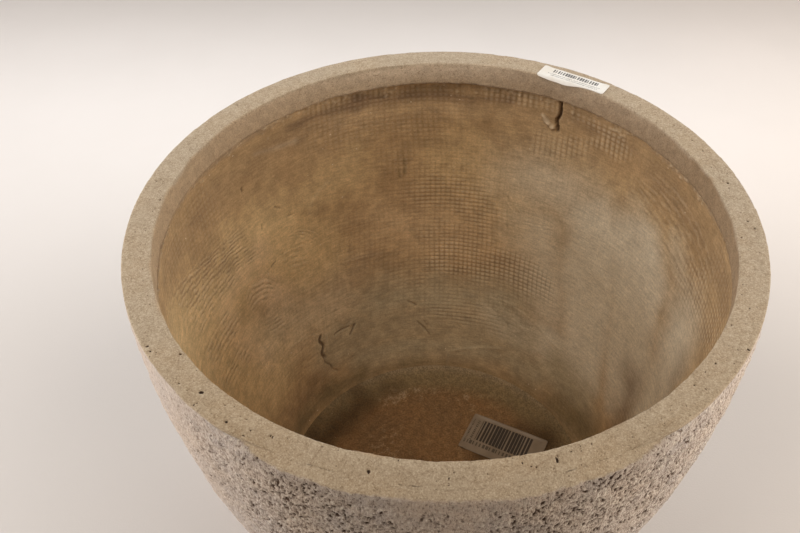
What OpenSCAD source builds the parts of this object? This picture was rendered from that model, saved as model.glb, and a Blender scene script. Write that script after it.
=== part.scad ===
// Round floor planter, laid up by hand in fibre cement: a stone-faced outer coat,
// glass net, a trowelled backing, a floor bed and a thick sanded rim.
// Millimetres, +Z up, origin at the middle of the foot. The far side is +Y.

/* [Overall size] */
// Width of the pot across its rim
rim_d = 400; // [360:1:440]
// Width of the pot across its foot
foot_d = 264; // [230:1:300]
// Height of the pot
pot_h = 330; // [280:1:380]

/* [Belly] */
// How late the belly turns in: 1 would be a straight cone, more is rounder
belly_power = 1.7; // [1.4:0.05:2.2]
// Radius of the foot's worn edge
foot_round = 5; // [2:0.5:8]

/* [Rim] */
// Width of the flat sanded rim
rim_w = 18; // [15:0.5:24]
// Height of the rim, which is the depth of the lip inside
rim_h = 20; // [14:1:30]
// Radius of the rim's worn outer edge
rim_round = 5; // [2:0.5:7]
// Radius where the lip turns under, inside
lip_round = 3; // [1:0.5:5]
// Radius of the sanded edge at the mouth
mouth_round = 1; // [0.5:0.25:2]

/* [Laid-up wall] */
// Thickness of the stone-faced coat against the mould
face_t = 5; // [4:0.25:6]
// Thickness of the glass net with the slurry that fills it
net_t = 0.8; // [0.6:0.1:1.2]
// Thickness of the backing on the wall
backing_t = 6.2; // [5:0.2:7.5]

/* [Floor] */
// Thickness of the mortar bed on the floor
bed_t = 12.2; // [9:0.2:18]
// Radius of the cove from the floor up the wall
cove_round = 20; // [12:1:30]
// Width of the drain hole
drain_d = 20; // [12:1:32]

/* [Labels] */
// Thickness of the label paper with its glue
paper_t = 0.3; // [0.2:0.05:0.5]
// Length of the rim's label
rim_label_l = 54; // [40:1:60]
// Width of the rim's label
rim_label_w = 14; // [12:0.5:16]
// How far the rim's label reaches past the mouth at its middle
rim_label_over = 2; // [0:0.5:3]
// Direction of the rim's label, from the far side towards the right
rim_label_turn = 31.5; // [0:0.5:360]
// Length of the floor's label
floor_label_l = 72; // [50:1:80]
// Width of the floor's label
floor_label_w = 40; // [25:1:44]
// How far the middle of the floor's label lies in from the cove
floor_label_in = 37.5; // [34:0.5:44]
// Direction of the floor's label, from the far side towards the right
floor_label_turn = 53; // [0:0.5:360]
// Turn of the floor's label on its own middle
floor_label_spin = -24; // [-90:1:90]
// Radius of the labels' corners
label_round = 1.5; // [0.5:0.25:3]

/* [Hidden] */

// Rings along the belly, and past each cut so that no two faces coincide
belly_steps = 20;
past = 1;
// The cove stops a little short of fading out, as trowelled mortar does
cove_bite = 0.6;

rim_r = rim_d / 2;
foot_r = foot_d / 2;
mouth_r = rim_r - rim_w;
wall_t = face_t + net_t + backing_t;
belly_top = pot_h - rim_h;
net_top = face_t + net_t;
floor_z = net_top + bed_t;

// The belly's outer radius and its lean, at a height above the ground
function sink(z) = max(belly_top - z, 0) / belly_top;
function belly_r(z) = rim_r - (rim_r - foot_r) * pow(sink(z), belly_power);
function belly_lean(z) =
    (rim_r - foot_r) * belly_power / belly_top * pow(sink(z), belly_power - 1);

// The same belly at a depth t inside the wall, measured square to it
function skin_r(z, t) = belly_r(z) - t * sqrt(1 + pow(belly_lean(z), 2));
function skin(t, low) = [for (i = [0 : belly_steps])
    let (z = belly_top + (low - belly_top) * i / belly_steps) [skin_r(z, t), z]];
function flipped(line) = [for (i = [len(line) - 1 : -1 : 0]) line[i]];

// The surfaces between the layers, each from under the rim down to where it ends
outside = skin(0, 0);
face_back = concat(skin(face_t, net_top), [[skin_r(face_t, face_t), face_t]]);
net_back = concat(skin(net_top, net_top), [[skin_r(face_t, net_top), face_t]]);
inside = skin(wall_t, net_top);

// The wall's lean where the cove meets it, and where the flat floor ends
cove_lean = atan(belly_lean(floor_z));
cove_reach = cove_round * tan((90 - cove_lean) / 2);
floor_flat_r = skin_r(floor_z, wall_t) - cove_reach + cove_bite;
cove_top = floor_z + cove_round * (1 - sin(cove_lean));

$fn = 120;

// Everything from the axis out to a surface of the belly
module within(line) {
    top = line[0][1];
    bottom = line[len(line) - 1][1];
    polygon(concat([[0, bottom], [0, top]], line));
}

// What comes off a square corner at [w, h] to leave a quarter round
module corner_off(at, turn, r) {
    translate(at) rotate(turn) translate([-r, -r]) difference() {
        square(r + past);
        circle(r);
    }
}

// What comes off the foot's edge, where the wall leans out over the ground
module foot_edge_off() {
    above = outside[belly_steps - 1];
    lean = atan2(above[0] - foot_r, above[1]);
    reach = foot_round * tan((90 - lean) / 2);
    middle = [foot_r - reach, foot_round];
    difference() {
        polygon([
            middle,
            [middle[0], -past],
            [foot_r + past, -past],
            middle + (foot_round + past) * [cos(lean), -sin(lean)]
        ]);
        translate(middle) circle(foot_round);
    }
}

module drain() {
    translate([0, -past]) square([drain_d / 2, floor_z + 2 * past]);
}

module label(l, w) {
    linear_extrude(paper_t) difference() {
        translate([-l / 2, -w / 2]) square([l, w]);
        for (turn = [0 : 90 : 270]) {
            long = turn % 180 == 0;
            rotate(turn)
                corner_off([(long ? l : w) / 2, (long ? w : l) / 2], 0, label_round);
        }
    }
}

// The coat that was washed and blasted to bare its stone, with the foot
module face_coat() {
    color("#a99c86") rotate_extrude() difference() {
        within(outside);
        difference() {
            within(face_back);
            square([foot_r, face_t]);
        }
        foot_edge_off();
        drain();
    }
}

// The glass net up the wall, pressed into the face coat
module wall_net() {
    color("#c9c3ad") rotate_extrude() difference() {
        within(face_back);
        within(net_back);
    }
}

// The disc of glass net under the floor
module floor_net() {
    color("#c9c3ad") rotate_extrude() difference() {
        intersection() {
            within(net_back);
            square([foot_r, net_top]);
        }
        drain();
    }
}

// The backing, trowelled on over the net inside the wall
module wall_backing() {
    color("#9a7f5c") rotate_extrude() difference() {
        within(net_back);
        within(inside);
        square([foot_r, net_top]);
    }
}

// The floor's mortar bed, drawn up the wall in a cove
module floor_bed() {
    color("#86593c") rotate_extrude() difference() {
        intersection() {
            within(inside);
            square([foot_r, cove_top]);
        }
        translate([floor_flat_r, floor_z + cove_round]) circle(cove_round);
        translate([0, floor_z]) square([floor_flat_r, cove_round]);
        drain();
    }
}

// The thick rim, packed in at the mould's mouth and sanded flat
module rim_band() {
    color("#b8a88f") rotate_extrude() translate([mouth_r, belly_top]) difference() {
        square([rim_w, rim_h]);
        corner_off([rim_w, rim_h], 0, rim_round);
        corner_off([0, rim_h], 90, mouth_round);
        corner_off([0, 0], 180, lip_round);
    }
}

module rim_label() {
    middle = mouth_r - rim_label_over + rim_label_w / 2;
    color("#efe9e2") rotate(-rim_label_turn) translate([0, middle, pot_h])
        label(rim_label_l, rim_label_w);
}

module floor_label() {
    color("#d9d0c4") rotate(-floor_label_turn)
        translate([0, floor_flat_r - floor_label_in, floor_z])
            rotate(floor_label_turn + floor_label_spin)
                label(floor_label_l, floor_label_w);
}

face_coat();
wall_net();
floor_net();
wall_backing();
floor_bed();
rim_band();
rim_label();
floor_label();
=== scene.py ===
# Round floor planter in hand-laid fibre cement, dressed over its solids. Sizes are in
# millimetres, and turns in degrees from +X, until a mesh is made; Blender gets metres.
import math

import bpy
import numpy as np
from mathutils import Matrix, Vector


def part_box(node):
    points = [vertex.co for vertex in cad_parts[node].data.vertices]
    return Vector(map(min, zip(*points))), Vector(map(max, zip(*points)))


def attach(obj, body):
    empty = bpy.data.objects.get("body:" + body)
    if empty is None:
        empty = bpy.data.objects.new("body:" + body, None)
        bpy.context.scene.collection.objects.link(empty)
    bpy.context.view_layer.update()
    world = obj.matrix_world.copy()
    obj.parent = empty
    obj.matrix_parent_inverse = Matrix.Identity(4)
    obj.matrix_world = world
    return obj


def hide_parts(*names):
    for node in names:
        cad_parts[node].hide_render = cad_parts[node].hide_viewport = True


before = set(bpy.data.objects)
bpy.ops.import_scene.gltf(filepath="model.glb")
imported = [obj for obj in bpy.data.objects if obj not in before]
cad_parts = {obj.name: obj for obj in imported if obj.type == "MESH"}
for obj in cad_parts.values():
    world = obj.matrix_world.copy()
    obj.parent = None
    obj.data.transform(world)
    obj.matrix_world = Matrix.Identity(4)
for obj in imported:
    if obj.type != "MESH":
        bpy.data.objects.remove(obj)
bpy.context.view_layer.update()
mm = 0.001
rimLow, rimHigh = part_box("rim_band")

pot = {
    "rimRadius": round(rimHigh.x / mm, 1),
    "height": round(rimHigh.z / mm, 1),
    "bellyTop": round(rimLow.z / mm, 1),
    "footRadius": 132.0,
    "bellyPower": 1.7,
    "mouthRadius": 182.0,
    "footRound": 5.0,
    "rimRound": 5.0,
    "mouthRound": 1.0,
    "lipRound": 3.0,
    "coat": 5.0,  # the stone-faced coat
    "netTop": 5.8,  # coat and net together
    "wall": 12.0,  # coat, net and backing
    "floor": 18.0,  # height of the floor's top
    "drain": 10.0,  # radius of the drain hole
    "cove": 20.0,
    "coveBite": 0.6,
    "brushed": 0.2,  # mortar brushed over the crease between cove and wall
}


def bellySink(z):
    return np.maximum(pot["bellyTop"] - np.asarray(z, float), 0) / pot["bellyTop"]


def bellyRadius(z):
    taper = pot["rimRadius"] - pot["footRadius"]
    return pot["rimRadius"] - taper * bellySink(z) ** pot["bellyPower"]


def bellyLean(z):
    steep = (pot["rimRadius"] - pot["footRadius"]) * pot["bellyPower"] / pot["bellyTop"]
    return steep * bellySink(z) ** (pot["bellyPower"] - 1)


def layerRadius(z, depth):
    return bellyRadius(z) - depth * np.sqrt(1 + bellyLean(z) ** 2)


def bellyLine(depth, start, end, count):
    z = np.linspace(start, end, count)
    return list(zip(layerRadius(z, depth), z))


def roundLine(centre, radius, start, end, count=15):
    turns = np.radians(np.linspace(start, end, count))
    return [(centre[0] + radius * math.cos(t), centre[1] + radius * math.sin(t)) for t in turns]


# A ring is an outline turned about the pot's axis, kept as a grid of rows and columns
def ringGrid(parts, around):
    points, tags = [], []
    for tag, cell, corners in parts:
        corners = np.array(corners, float)
        reach = np.concatenate([[0], np.cumsum(np.hypot(*np.diff(corners, axis=0).T))])
        steps = max(1, round(reach[-1] / cell))
        at = np.linspace(0, reach[-1], steps + 1)[:-1]
        points.append(np.column_stack([np.interp(at, reach, corners[:, k]) for k in (0, 1)]))
        tags += [tag] * steps
    line = np.concatenate(points)
    tags = np.array(tags)
    hidden = np.char.startswith(tags, "hidden")
    ahead = np.roll(line, -1, 0) - line
    behind = np.roll(ahead, 1, 0)
    along = ahead + behind
    # where a face that shows meets one that doesn't, its edge moves square to the one that shows
    starts = ~hidden & np.roll(hidden, 1)
    ends = hidden & ~np.roll(hidden, 1)
    along[starts] = ahead[starts]
    along[ends] = behind[ends]
    along /= np.hypot(*along.T)[:, None]
    turns = np.arange(around) * 2 * math.pi / around
    r, z = line[:, 0, None], line[:, 1, None]
    return {
        "line": line,
        "out": np.column_stack([along[:, 1], -along[:, 0]]),
        "tags": np.where(ends, np.roll(tags, 1), tags),
        "sharp": starts | ends,
        "s": np.concatenate([[0], np.cumsum(np.hypot(*ahead.T))]),
        "around": around,
        "turns": turns,
        "points": np.stack([r * np.cos(turns), r * np.sin(turns), z + 0 * turns], -1),
    }


# How far each row belongs to the parts with these tags, fading over the length soften
def rowWeight(ring, tags, soften):
    own = np.isin(ring["tags"], tags).astype(float)
    s = ring["s"][:-1]
    near = np.abs(s[:, None] - s) < soften / 2
    return ((near @ own) / near.sum(1))[:, None]


# The place along the outline where a part begins
def firstOf(ring, tag):
    return float(ring["s"][:-1][ring["tags"] == tag][0])


def addObject(name, data):
    made = bpy.data.objects.new(name, data)
    bpy.context.scene.collection.objects.link(made)
    return made


def keepMark(mesh, mark, amounts):
    made = mesh.attributes.new(mark, "FLOAT", "POINT")
    made.data.foreach_set("value", amounts.astype(np.float32).ravel())


def buildRing(name, ring, push, marks, material):
    rows, around = len(ring["line"]), ring["around"]
    r = ring["line"][:, :1] + ring["out"][:, :1] * push
    z = ring["line"][:, 1:] + ring["out"][:, 1:] * push
    at = np.stack([r * np.cos(ring["turns"]), r * np.sin(ring["turns"]), z], -1) * mm
    row, column = np.divmod(np.arange(rows * around), around)
    above, beside = (row + 1) % rows, (column + 1) % around
    corners = np.stack([row * around + column, row * around + beside,
                        above * around + beside, above * around + column], 1)
    mesh = bpy.data.meshes.new(name)
    mesh.vertices.add(rows * around)
    mesh.vertices.foreach_set("co", at.astype(np.float32).ravel())
    mesh.loops.add(corners.size)
    mesh.loops.foreach_set("vertex_index", corners.astype(np.int32).ravel())
    mesh.polygons.add(len(corners))
    mesh.polygons.foreach_set("loop_start", np.arange(0, corners.size, 4, dtype=np.int32))
    mesh.update(calc_edges=True)
    across = np.stack([column, column + 1, column + 1, column], 1) / around
    up = ring["s"][np.stack([row, row, row + 1, row + 1], 1)] / ring["s"][-1]
    flat = mesh.uv_layers.new(name="OFBake")
    flat.uv.foreach_set("vector", np.stack([across, up], -1).astype(np.float32).ravel())
    ends = np.empty(len(mesh.edges) * 2, np.int32)
    mesh.edges.foreach_get("vertices", ends)
    first, second = ends.reshape(-1, 2).T // around
    crease = mesh.attributes.new("sharp_edge", "BOOLEAN", "EDGE")
    crease.data.foreach_set("value", (first == second) & ring["sharp"][first])
    for mark, amount in marks.items():
        keepMark(mesh, mark, np.broadcast_to(amount, (rows, around)))
    mesh.materials.append(material)
    return addObject(name, mesh)


def easy(value):
    value = np.clip(value, 0, 1)
    return value * value * (3 - 2 * value)


# Smooth lattice noise over points in space, about -1 to 1
def latticeNoise(points, size, seed):
    at = points / size + seed * 7.31
    cell = np.floor(at).astype(np.int64)
    share = at - cell
    share = share ** 3 * (share * (share * 6 - 15) + 10)
    total = np.zeros(points.shape[:-1])
    for corner in range(8):
        step = np.array([corner & 1, corner >> 1 & 1, corner >> 2])
        key = (cell + step) @ np.array([374761393, 668265263, 1440662683]) + seed * 974634533
        key = key & 0xffffffff
        key = (key ^ key >> 15) * 1274126177 & 0xffffffff
        key = (key ^ key >> 13) * 1103515245 & 0xffffffff
        weight = np.prod(np.where(step, share, 1 - share), axis=-1)
        total += weight * ((key >> 8 & 0xffff) / 32767.5 - 1)
    return total


# Several sizes of that noise, each half as big and half as strong as the last
def cloud(points, size, seed, layers):
    total = sum(latticeNoise(points, size / 2 ** k, seed + k) / 2 ** k for k in range(layers))
    return total * 1.6


# Some of those noises together: rows of height, size, seed and number of layers
def uneven(points, rows):
    return sum(height * cloud(points, size, seed, layers) for height, size, seed, layers in rows)


# A patch is the rows of a ring on which marks are struck, placed by height or by radius
def openPatch(ring, tags, key):
    rows = np.flatnonzero(np.isin(ring["tags"], tags))
    order = np.argsort(ring["line"][rows, key])
    return {
        "rows": rows,
        "s": ring["s"][rows],
        "radius": ring["line"][rows, 0],
        "height": ring["line"][rows, 1],
        "keys": ring["line"][rows, key][order],
        "keyS": ring["s"][rows][order],
        "around": ring["around"],
        "degrees": np.degrees(ring["turns"]),
        "points": ring["points"][rows],
        "grid": (len(rows), ring["around"]),
        "whole": (len(ring["line"]), ring["around"]),
    }


def spread(patch, field):
    whole = np.zeros(patch["whole"])
    whole[patch["rows"]] = field
    return whole


def awayFrom(degrees, middle):
    return (degrees - middle + 180) % 360 - 180


# The value at each turn, from a table of turns from -180 to 180 and values
def byTurn(table, degrees):
    return np.interp(awayFrom(degrees, 0), *np.array(table, float).T)


# The row of a patch that is nearest to a place along its outline
def rowAt(patch, s):
    return np.rint(np.interp(s, patch["s"], np.arange(len(patch["s"])))).astype(int)


# Where on a patch's outline a height or radius lies
def outlineAt(patch, key):
    return np.interp(key, patch["keys"], patch["keyS"])


# Spots are rows of turn, place along the outline, half length, half width, lean and height
def strike(patch, spots, shape):
    field = np.zeros(patch["grid"])
    step = 360 / patch["around"]
    cell = np.median(np.diff(patch["s"]))
    narrow = math.radians(step) * patch["radius"].min()
    for part in np.array_split(spots[np.argsort(spots[:, 2])], 10):
        if not len(part):
            continue
        turn, s, long, wide, lean, height = part.T[:, :, None, None]
        high = math.ceil(long.max() / cell) + 1
        broad = math.ceil(long.max() / narrow) + 1
        row = rowAt(patch, s) + np.arange(-high, high + 1)[None, :, None]
        column = np.rint(turn / step).astype(int) + np.arange(-broad, broad + 1)
        inside = (row >= 0) & (row < len(patch["s"]))
        row = np.clip(row, 0, len(patch["s"]) - 1)
        x = np.radians(column * step - turn) * patch["radius"][row]
        y = patch["s"][row] - s
        a = (x * np.cos(lean) + y * np.sin(lean)) / long
        b = (y * np.cos(lean) - x * np.sin(lean)) / wide
        value = np.where(inside, shape(a * a + b * b) * height, 0)
        row, column = np.broadcast_arrays(row, column % patch["around"])
        np.maximum.at(field, (row, column), value)
    return field


def bowl(q):
    return np.sqrt(np.clip(1 - q, 0, 1))


def swell(q):
    return np.clip(1 - q, 0, 1) ** 2


def halo(q):
    share = np.clip((2.56 * q - 1) / 1.56, 0, 1)
    return 4 * share * (1 - share)


# A smooth line through a few points, which are turn and height or turn and radius
def smoothPath(points, count=40):
    p = np.array(points, float)
    p = np.vstack([2 * p[0] - p[1], p, 2 * p[-1] - p[-2]])
    at = np.linspace(0, len(p) - 3 - 1e-9, count)
    k = at.astype(int)
    t = (at - k)[:, None]
    a, b, c, d = p[k], p[k + 1], p[k + 2], p[k + 3]
    return 0.5 * (2 * b + (c - a) * t + (2 * a - 5 * b + 4 * c - d) * t ** 2
                  + (3 * b - a - 3 * c + d) * t ** 3)


# A stroke is struck as a row of round spots, lower towards its ends
def strokeSpots(patch, path, width, height, fade):
    turn, s = path[:, 0], outlineAt(patch, path[:, 1])
    radius = np.interp(s, patch["s"], patch["radius"])
    run = np.hypot(np.radians(np.diff(turn)) * radius[1:], np.diff(s))
    reach = np.concatenate([[0], np.cumsum(run)])
    at = np.linspace(0, reach[-1], max(2, int(reach[-1] / (0.4 * width)) + 1))
    share = at / max(reach[-1], 1e-6)
    ends = easy(np.minimum(share, 1 - share) / fade)
    ones = np.ones(len(at))
    return np.column_stack([np.interp(at, reach, turn), np.interp(at, reach, s),
                            width * ones, width * ones, 0 * ones, height * ends])


# Strokes are rows of path, width and height
def strikeStrokes(patch, strokes, shape, fade=0.15):
    spots = [strokeSpots(patch, smoothPath(path), width, height, fade) for path, width, height in strokes]
    return strike(patch, np.vstack(spots), shape)


# Combs or brushes pulled through wet mortar: lines from one guide across to the other.
# They are rows of first guide, last guide, number of lines, height and width.
def strikeCombs(patch, combs, draw):
    made = []
    for first, last, lines, height, width in combs:
        start, end = smoothPath(first), smoothPath(last)
        for k in range(lines):
            share = (k + 0.25 * draw.uniform(-1, 1)) / max(lines - 1, 1)
            path = start + (end - start) * share
            path = path[int(draw.integers(0, 7)):40 - int(draw.integers(0, 7))]
            wide = width * draw.uniform(0.8, 1.2)
            made.append(strokeSpots(patch, path, wide, height * draw.uniform(0.6, 1.1), 0.2))
    return strike(patch, np.vstack(made), swell)


# How near each point of a patch is to a path: 1 within the radius, fading over soft
def nearPath(patch, path, radius, soft, ragged=0):
    path = np.array(path, float)
    s = outlineAt(patch, path[:, 1])
    scale = math.radians(1) * np.interp(s, patch["s"], patch["radius"]).mean()
    gap = np.full(patch["grid"], 1e9)
    for k in range(max(1, len(path) - 1)):
        n = min(k + 1, len(path) - 1)
        ax = awayFrom(patch["degrees"], path[k, 0])[None, :] * scale
        ay = (patch["s"] - s[k])[:, None]
        bx, by = awayFrom(path[n, 0], path[k, 0]) * scale, s[n] - s[k]
        share = np.clip((ax * bx + ay * by) / max(bx * bx + by * by, 1e-9), 0, 1)
        gap = np.minimum(gap, np.hypot(ax - share * bx, ay - share * by))
    return easy((radius + ragged - gap) / soft + 0.5)


# The strongest of some soft patches at each point: rows of path, radius, softness and strength.
# ragged says by the softness how uneven an edge is.
def strongest(patch, rows, ragged):
    field = np.zeros(patch["grid"])
    for path, radius, soft, strength in rows:
        field = np.maximum(field, strength * nearPath(patch, path, radius, soft, ragged(soft)))
    return spread(patch, field)


# Short names for the node work: every call adds to the tree that is being made,
# and returns an output socket
work = {"tree": None}


def newNode(kind):
    return work["tree"].nodes.new("ShaderNode" + kind)


def link(source, socket):
    work["tree"].links.new(source, socket)


def feed(socket, value):
    if isinstance(value, bpy.types.NodeSocket):
        link(value, socket)
    elif isinstance(value, (tuple, list)) and socket.type == "RGBA":
        socket.default_value = (*value[:3], 1)
    else:
        socket.default_value = value


def newMaterial(name, roughness, sheen):
    material = bpy.data.materials.new(name)
    material.use_nodes = True
    work["tree"] = material.node_tree
    work["tree"].nodes.clear()
    shader = newNode("BsdfPrincipled")
    shader.inputs["Roughness"].default_value = roughness
    shader.inputs["Specular IOR Level"].default_value = sheen
    out = newNode("OutputMaterial")
    link(shader.outputs[0], out.inputs[0])
    return material, shader


def calc(operation, *values):
    made = newNode("Math")
    made.operation = operation
    for k, value in enumerate(values):
        feed(made.inputs[k], value)
    return made.outputs[0]


def times(first, second):
    return calc("MULTIPLY", first, second)


def plus(first, second):
    return calc("ADD", first, second)


# How far a noise is off its middle
def offMiddle(value, amount):
    return times(calc("SUBTRACT", value, 0.5), amount)


def tint(share, low, high, mode="MIX"):
    made = newNode("Mix")
    made.data_type = "RGBA"
    made.blend_type = mode
    feed(made.inputs[0], share)
    feed(made.inputs[6], low)
    feed(made.inputs[7], high)
    return made.outputs[2]


def fit(value, low, high, toLow=0.0, toHigh=1.0):
    made = newNode("MapRange")
    made.interpolation_type = "SMOOTHSTEP"
    feed(made.inputs["Value"], value)
    for name, amount in (("From Min", low), ("From Max", high), ("To Min", toLow), ("To Max", toHigh)):
        feed(made.inputs[name], amount)
    return made.outputs[0]


# Lays colours over a first one, each by how far its value has gone from low to high
def overlay(colour, *rows):
    for value, low, high, most, over in rows:
        colour = tint(fit(value, low, high, 0.0, most), colour, over)
    return colour


# Darkens and lightens a colour by a noise
def shade(colour, value, amount, reach=0.2, share=1.0):
    factor = fit(value, 0.5 - reach, 0.5 + reach, 1 - amount, 1 + amount)
    return tint(share, colour, factor, "MULTIPLY")


def markOf(name):
    made = newNode("Attribute")
    made.attribute_name = name
    return made.outputs["Fac"]


def place(stretch=None):
    made = newNode("TexCoord").outputs["Object"]
    if stretch is None:
        return made
    mapping = newNode("Mapping")
    mapping.inputs["Scale"].default_value = stretch
    link(made, mapping.inputs["Vector"])
    return mapping.outputs[0]


def axes(at):
    made = newNode("SeparateXYZ")
    link(at, made.inputs[0])
    return list(made.outputs)


# size is the feature's width in millimetres
def grain(at, size, detail, rough=0.5, warp=0.0):
    made = newNode("TexNoise")
    link(at, made.inputs["Vector"])
    made.inputs["Scale"].default_value = 1 / (size * mm)
    made.inputs["Detail"].default_value = detail
    made.inputs["Roughness"].default_value = rough
    made.inputs["Distortion"].default_value = warp
    return made.outputs["Fac"]


# Stray grains: cells whose own random number is past a limit, drawn as small dots
def strayGrains(at, size, limit, reach):
    cells = newNode("TexVoronoi")
    link(at, cells.inputs["Vector"])
    cells.inputs["Scale"].default_value = 1 / (size * mm)
    part = newNode("SeparateColor")
    link(cells.outputs["Color"], part.inputs[0])
    chosen = calc("GREATER_THAN", part.outputs[0], limit)
    return times(chosen, fit(cells.outputs["Distance"], reach, reach * 0.45))


# Gives a shader its colour, its relief as pairs of height and depth, and its roughness
# as a noise, the least and how much more
def dress(shader, colour, relief, rough=None):
    link(colour, shader.inputs["Base Color"])
    if rough:
        value, least, more = rough
        link(plus(times(value, more), least), shader.inputs["Roughness"])
    normal = None
    for height, depth in relief:
        made = newNode("Bump")
        made.inputs["Distance"].default_value = depth * mm
        made.inputs["Strength"].default_value = 1.0
        link(height, made.inputs["Height"])
        if normal is not None:
            link(normal, made.inputs["Normal"])
        normal = made.outputs[0]
    link(normal, shader.inputs["Normal"])


print("camera, ground and light")
viewpoint = {
    "place": (0.0, -0.4326, 0.70605),
    "turn": 3.605,
    "tilt": 45.829,
    "roll": -1.448,
    "lens": 40.5,
}
camera = bpy.data.cameras.new("photoCamera")
camera.lens = viewpoint["lens"]
camera.sensor_width = 36.0
camera.clip_start = 0.01
cameraObject = addObject("photoCamera", camera)
cameraObject.matrix_world = (
    Matrix.Translation(viewpoint["place"])
    @ Matrix.Rotation(math.radians(viewpoint["turn"]), 4, "Z")
    @ Matrix.Rotation(math.radians(viewpoint["tilt"]), 4, "X")
    @ Matrix.Rotation(math.radians(viewpoint["roll"]), 4, "Z")
)
bpy.context.scene.camera = cameraObject
bpy.context.scene.view_settings.view_transform = "Standard"

room = {
    "near": (0.575, 0.530, 0.500),  # the ground before the pot, darker: painted shade
    "far": (0.905, 0.845, 0.815),  # the ground behind it, lighter: painted light
    "right": (1.07, 1.04, 1.015),  # lighter and warmer to the right: painted light
    "blotch": (0.6, 0.55, 0.5),
    "reach": 6.0,  # half the ground's side
    "groundLevel": -0.0004,
    "sky": (0.90, 0.85, 0.82),  # what the camera sees past the ground
    "fill": (1.0, 0.93, 0.85),
    "fillStrength": 0.14,
    "lamps": [  # name, place, what it is aimed at, size, watts and tint
        ("backLamp", (0.0, 0.66, 0.62), (0, 0.12, 0.3), (1.4, 0.4), 4.2, (0.90, 0.96, 1.0)),
        ("leftHigh", (-0.85, -0.60, 1.90), (0, 0.05, 0.2), (1.0, 0.8), 11.5, (1.0, 0.92, 0.82)),
        ("rightHigh", (0.85, -0.60, 1.90), (0, 0.05, 0.2), (1.0, 0.8), 10.0, (1.0, 0.92, 0.82)),
        ("leftLamp", (-1.35, -0.15, 0.50), (0, 0, 0.2), (0.9, 0.8), 17.0, (0.98, 0.99, 1.0)),
        ("rightLamp", (1.35, -0.20, 0.50), (0, 0, 0.2), (0.9, 0.8), 16.5, (1.0, 0.98, 0.94)),
    ],
}


def makeGround():
    material, shader = newMaterial("paleGround", 0.8, 0.2)
    at = place()
    x, y = axes(at)[:2]
    # painted light and shade: the ground darkens towards the viewer and lightens to the right
    colour = overlay(room["near"], (y, 0.05, 0.8, 1.0, room["far"]))
    colour = tint(fit(x, 0.05, 0.5), colour, room["right"], "MULTIPLY")
    colour = overlay(colour, (grain(at, 140, 3), 0.3, 0.7, 0.06, room["blotch"]))
    dress(shader, colour, [(grain(at, 1.5, 2), 0.1)])
    mesh = bpy.data.meshes.new("ground")
    reach, low = room["reach"], room["groundLevel"]
    corners = [(-reach, -reach, low), (reach, -reach, low), (reach, reach, low), (-reach, reach, low)]
    mesh.from_pydata(corners, [], [(0, 1, 2, 3)])
    mesh.materials.append(material)
    ground = addObject("ground", mesh)


def makeLight():
    world = bpy.data.worlds.new("softRoom")
    bpy.context.scene.world = world
    world.use_nodes = True
    work["tree"] = world.node_tree
    work["tree"].nodes.clear()
    rays = newNode("LightPath")
    mirrored = calc("MAXIMUM", rays.outputs["Is Glossy Ray"], rays.outputs["Is Transmission Ray"])
    seen = calc("MAXIMUM", rays.outputs["Is Camera Ray"], mirrored)
    fill = newNode("Background")
    fill.inputs[0].default_value = (*room["fill"], 1)
    fill.inputs[1].default_value = room["fillStrength"]
    sky = newNode("Background")
    sky.inputs[0].default_value = (*room["sky"], 1)
    both = newNode("MixShader")
    out = newNode("OutputWorld")
    link(seen, both.inputs[0])
    link(fill.outputs[0], both.inputs[1])
    link(sky.outputs[0], both.inputs[2])
    link(both.outputs[0], out.inputs[0])
    for name, at, aim, size, watts, tone in room["lamps"]:
        data = bpy.data.lights.new(name, "AREA")
        data.shape = "RECTANGLE"
        data.size, data.size_y = size
        data.energy = watts
        data.color = tone
        made = addObject(name, data)
        made.location = at
        made.rotation_euler = (Vector(aim) - made.location).to_track_quat("-Z", "Y").to_euler()
        made.visible_camera = False


makeGround()
makeLight()

print("stone face")
stone = {
    "big": {"count": 8200, "long": (1.2, 2.3), "wide": (0.65, 1.0), "deep": (0.9, 1.7)},
    "middle": {"count": 40000, "long": (0.8, 1.5), "wide": (0.45, 0.75), "deep": (0.5, 1.1)},
    "lean": 0.45,  # how far the pits are off upright
    "raised": 0.12,  # height of the lips round the pits, as a share of the pits' depth
    "uneven": [(0.35, 26, 5, 3), (0.26, 6, 9, 2), (0.16, 2.8, 13, 1)],
    "under": [(0.3, 9, 51, 2)],  # the same, of the underside
    "band": 9.0,  # smooth band under the rim's edge
    "frontBand": 11.0,  # how much wider it is in front, under the sanded slope
    "sideBand": 12.0,  # and at the sides
    "bandSway": 2.0,
    "bandFade": 9.0,
    "lowest": 3.0,
    # turn, and how bare the grain is: smooth at the left and in the middle of the front
    "bare": [(-180, 0.35), (-150, 0.40), (-138, 0.50), (-124, 0.75), (-112, 1.0), (-103, 1.0), (-94, 0.72),
             (-84, 0.75), (-75, 1.0), (-60, 1.1), (-45, 1.15), (-30, 1.0), (0, 0.7), (90, 0.7), (180, 0.35)],
    "nearShade": (0.86, 0.84, 0.80),  # painted shade: the side near the viewer is darker
    # painted shade on the stone at the very front, under the rim
    "frontShade": (0.84, 0.835, 0.82),
    # dirt and painted shade in the pits
    "pitDirtAndShade": (0.105, 0.062, 0.042),
    "skin": (0.52, 0.42, 0.35),
    "skinWarm": (0.535, 0.42, 0.335),
    "skinCool": (0.475, 0.40, 0.355),
    "sand": (0.76, 0.66, 0.55),
    "darkGrain": (0.15, 0.098, 0.068),
}


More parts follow.
